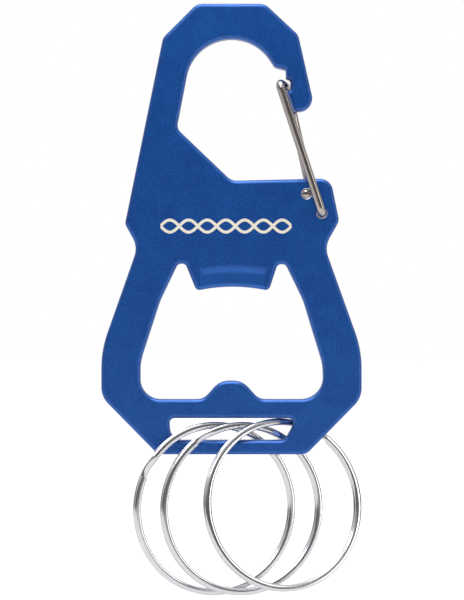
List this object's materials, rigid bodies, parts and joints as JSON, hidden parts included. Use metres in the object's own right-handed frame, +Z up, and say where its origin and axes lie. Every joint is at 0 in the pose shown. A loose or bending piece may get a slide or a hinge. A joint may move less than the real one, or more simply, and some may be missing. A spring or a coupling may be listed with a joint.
{
  "type": "carabiner keyring",
  "caption": "Flat blue metal carabiner with a sprung wire gate, a bottle-opener mouth and split rings hanging from a slotted bar.",
  "frame": {"origin": "centre of the round seat at the top of the hook, halfway through the plate", "axes": "+Z up towards the top of the hook, +X towards the gate, +Y from the printed front face to the back; the seat's axis is along Y"},
  "size_m": [0.0456, 0.014, 0.1026],
  "materials": {
    "anodised_blue": "satin blue anodising over a finely blasted sheet",
    "gate_steel": "drawn and polished stainless wire",
    "ring_nickel": "bright nickel plate on spring steel"
  },
  "bodies": {
    "plate": {"body_plate": "anodised_blue"},
    "gate": {"gate_wire": "gate_steel", "gate_heel": "gate_steel"},
    "left_ring": {"ring_left": "ring_nickel"},
    "middle_ring": {"ring_middle": "ring_nickel"},
    "right_ring": {"ring_right": "ring_nickel"}
  },
  "joints": [
    {"name": "gate_swing", "type": "hinge", "parent": "plate", "child": "gate", "pos_m": [0.01565, 0, -0.0224], "axis": [0, -1, 0], "range_deg": [0, 28], "stiffness_Nm_per_rad": 0.01, "springref_deg": -34.38, "deforming": ["gate_heel"]},
    {"name": "ring_middle_swing", "type": "hinge", "parent": "plate", "child": "middle_ring", "pos_m": [0.00316, 0.00054, -0.06402], "axis": [0.9392, 0.1136, -0.324], "range_deg": [-75, 0]},
    {"name": "ring_left_swing", "type": "hinge", "parent": "plate", "child": "left_ring", "pos_m": [0.00316, 0.00054, -0.06402], "axis": [0.9392, 0.1136, -0.324], "range_deg": [-75, 0]},
    {"name": "ring_right_swing", "type": "hinge", "parent": "plate", "child": "right_ring", "pos_m": [0.00316, 0.00054, -0.06402], "axis": [0.9392, 0.1136, -0.324], "range_deg": [-75, 0]}
  ],
  "couplings": [
    {"joint": "ring_left_swing", "follows": "ring_middle_swing", "ratio": 1},
    {"joint": "ring_right_swing", "follows": "ring_middle_swing", "ratio": 1}
  ]
}
